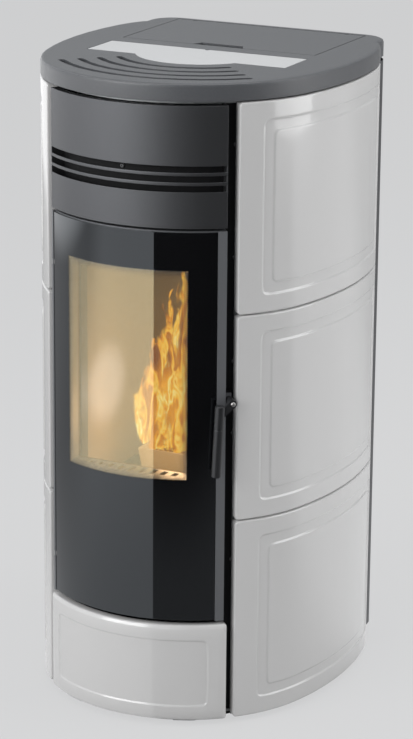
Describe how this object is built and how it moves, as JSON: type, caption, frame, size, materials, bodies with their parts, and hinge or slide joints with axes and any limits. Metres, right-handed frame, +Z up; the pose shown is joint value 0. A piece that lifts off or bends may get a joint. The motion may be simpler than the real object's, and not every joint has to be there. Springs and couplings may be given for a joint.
{
  "type": "pellet stove",
  "caption": "Pellet stove with a curved front, a tall glazed fire door with a bar handle, ceramic tiles on its sides and base, and a cast top with a hopper lid.",
  "frame": {"origin": "on the floor, under the middle of the bounding box", "axes": "+Z up, the front with the fire door faces -Y, +X to the right of a person facing the front"},
  "size_m": [0.5516, 0.645, 1.149],
  "materials": {
    "tile_glaze": "glossy glaze",
    "cast_top": "matt paint on cast iron",
    "pale_cover": "satin light grey paint",
    "anthracite_sheet": "fine textured paint",
    "black_sheet": "matt black heat paint",
    "zinc_sheet": "galvanised sheet",
    "bright_steel": "plain steel",
    "black_glass": "printed black glass with a clear window",
    "fire_iron": "sooty cast iron",
    "refractory": "rough board",
    "rope": "woven rope",
    "seal_rubber": "matt",
    "plastic": "fine grain"
  },
  "bodies": {
    "root": {"base_plate": "zinc_sheet", "foot_front_left": "seal_rubber", "foot_front_right": "seal_rubber", "foot_rear_left": "seal_rubber", "foot_rear_right": "seal_rubber", "post_left": "black_sheet", "post_right": "black_sheet", "side_carrier_left": "zinc_sheet", "side_carrier_right": "zinc_sheet", "top_frame": "zinc_sheet", "rear_panel": "anthracite_sheet", "side_tile_left_lower": "tile_glaze", "side_tile_left_middle": "tile_glaze", "side_tile_left_upper": "tile_glaze", "side_tile_right_lower": "tile_glaze", "side_tile_right_middle": "tile_glaze", "side_tile_right_upper": "tile_glaze", "base_tile": "tile_glaze", "top_plate": "cast_top", "control_panel": "plastic", "lid_hinge_rod": "bright_steel", "lid_seal": "seal_rubber", "upper_fascia": "anthracite_sheet", "fascia_backplate": "black_sheet", "latch_keeper": "black_sheet", "hinge_leaf_lower": "black_sheet", "hinge_leaf_upper": "black_sheet", "hinge_pin_lower": "bright_steel", "hinge_pin_upper": "bright_steel", "firebox": "black_sheet", "burn_shelf": "fire_iron", "liner_back": "refractory", "liner_left": "refractory", "liner_right": "refractory", "baffle": "refractory", "burn_pot": "fire_iron", "igniter": "bright_steel", "pellet_hopper": "zinc_sheet", "auger_tube": "zinc_sheet", "gear_motor": "zinc_sheet", "smoke_duct": "zinc_sheet", "fan_housing": "zinc_sheet", "fan_motor": "black_sheet", "flue_collar": "black_sheet", "air_intake": "zinc_sheet", "power_inlet": "plastic"},
    "door": {"door_frame": "anthracite_sheet", "door_glass": "black_glass", "window_reveal": "bright_steel", "door_inner_plate": "black_sheet", "door_seal": "rope"},
    "handle": {"handle_lever": "anthracite_sheet", "handle_grip": "anthracite_sheet", "handle_bolt": "bright_steel"},
    "lid": {"hopper_lid": "anthracite_sheet"},
    "cover": {"control_cover": "pale_cover"},
    "ash_drawer": {"ash_drawer": "bright_steel"},
    "auger": {"auger_screw": "bright_steel"},
    "fan": {"fan_impeller": "bright_steel"},
    "switch": {"power_switch": "plastic"}
  },
  "joints": [
    {"name": "door_hinge", "type": "hinge", "parent": "root", "child": "door", "pos_m": [-0.1628, -0.24674, 0.55], "axis": [0, 0, -1], "range_deg": [0, 100]},
    {"name": "handle_turn", "type": "hinge", "parent": "door", "child": "handle", "pos_m": [0.17499, -0.25188, 0.597], "axis": [-0.6634, 0.7482, 0], "range_deg": [0, 70]},
    {"name": "lid_hinge", "type": "hinge", "parent": "root", "child": "lid", "pos_m": [0, 0.266, 1.142], "axis": [-1, 0, 0], "range_deg": [0, 75]},
    {"name": "cover_lift", "type": "slide", "parent": "root", "child": "cover", "axis": [0, 0, 1], "range_m": [0, 0.03]},
    {"name": "ash_drawer_slide", "type": "slide", "parent": "root", "child": "ash_drawer", "axis": [0, -1, 0], "range_m": [0, 0.07]},
    {"name": "auger_spin", "type": "hinge", "parent": "root", "child": "auger", "pos_m": [0, 0.205, 0.45], "axis": [0, -0.7071, 0.7071], "continuous": true},
    {"name": "fan_spin", "type": "hinge", "parent": "root", "child": "fan", "pos_m": [-0.09, 0.14, 0.13], "axis": [0, 1, 0], "continuous": true},
    {"name": "switch_rock", "type": "hinge", "parent": "root", "child": "switch", "pos_m": [-0.124, 0.2835, 0.33], "axis": [1, 0, 0], "range_deg": [-12, 0]}
  ],
  "couplings": [
    {"joint": "ash_drawer_slide", "follows": "door_hinge", "m_per_rad": 0.04}
  ]
}
